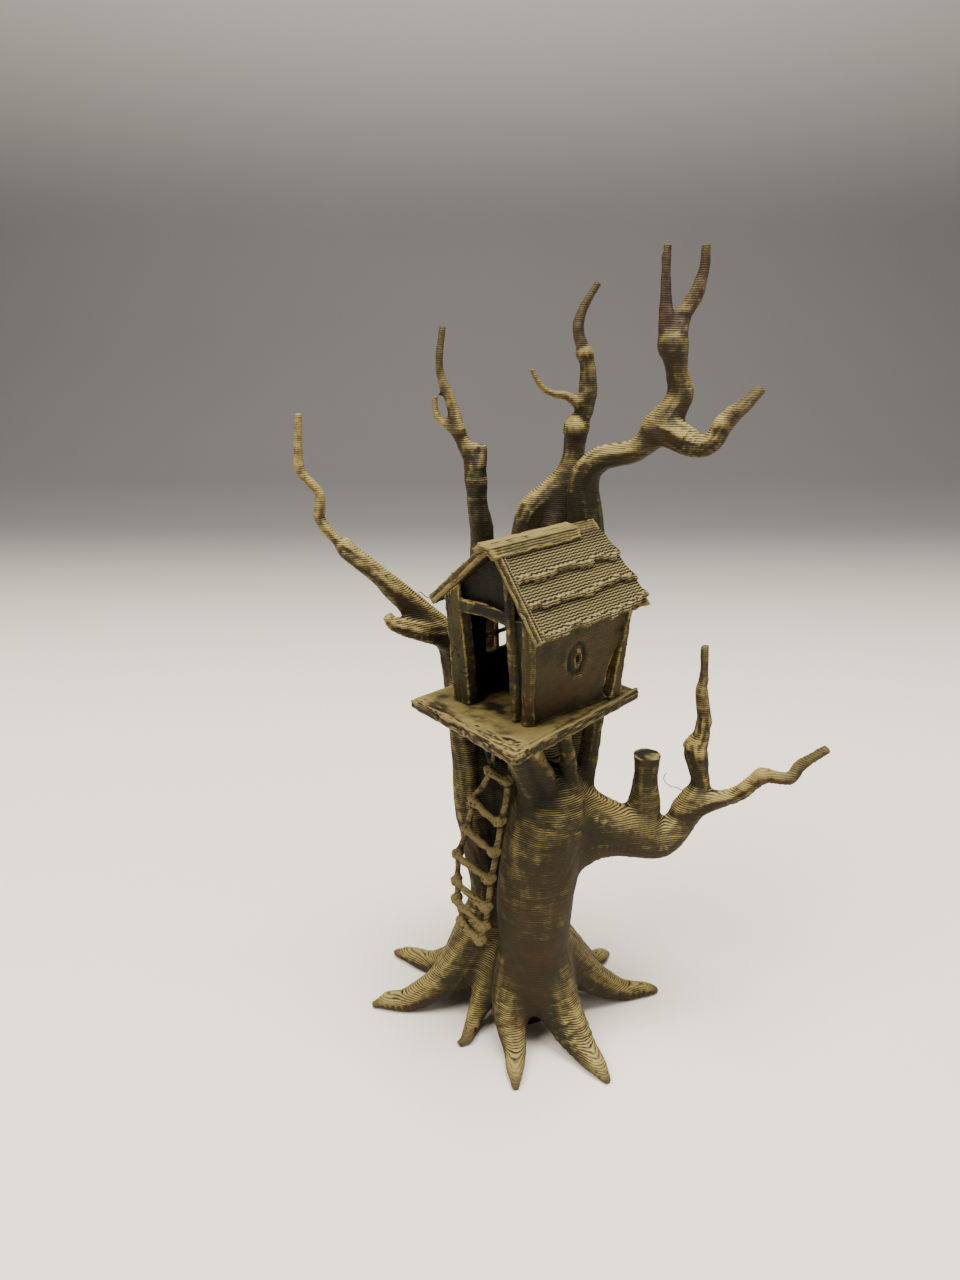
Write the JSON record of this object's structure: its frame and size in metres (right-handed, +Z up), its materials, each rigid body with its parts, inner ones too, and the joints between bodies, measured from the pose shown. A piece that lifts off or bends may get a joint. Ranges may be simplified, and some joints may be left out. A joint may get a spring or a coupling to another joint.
{
  "type": "small printed model of a tree house",
  "caption": "Small painted plastic model of a gnarled tree carrying a little gabled hut on a propped platform, with a rope ladder, spreading roots and a flat base to stand on.",
  "frame": {"origin": "middle of the tree's flat underside, on the ground", "axes": "+Z up the trunk; -Y the way the front of the hut faces; +X to the hut's right side wall as seen from its front"},
  "size_m": [0.0545, 0.0436, 0.1051],
  "materials": {
    "bark": "painted brown with gold dry-brushing over fine layer lines",
    "boards": "painted brown with gold dry-brushing on the edges",
    "tiles": "painted olive brown with strong layer lines and gold edges",
    "rope": "painted brown with gold dry-brushing"
  },
  "bodies": {
    "root": {"trunk": "bark", "roots_left": "bark", "roots_front": "bark", "roots_back": "bark", "limb_left": "bark", "limb_mid": "bark", "limb_rear": "bark", "limb_right": "bark", "side_branch": "bark", "limb_low": "bark", "stump": "bark", "twig_up": "bark", "twig_out": "bark", "strut_1": "bark", "strut_2": "bark", "strut_3": "bark", "strut_4": "bark", "strut_5": "bark", "deck": "boards", "under_boards": "boards", "wall_front": "boards", "gable_front": "boards", "wall_back": "boards", "wall_left": "boards", "wall_right": "boards", "window_bars": "boards", "knot_ring": "boards", "post_flat": "boards", "post_door": "boards", "post_corner_front": "boards", "post_corner_back": "boards", "lintel": "boards", "roof_left": "boards", "roof_right": "boards", "tiles_left_1": "tiles", "tiles_left_2": "tiles", "tiles_left_3": "tiles", "tiles_right_1": "tiles", "tiles_right_2": "tiles", "tiles_right_3": "tiles", "ridge_cap": "tiles", "ladder_ropes": "rope", "ladder_rungs": "rope"}
  },
  "joints": []
}
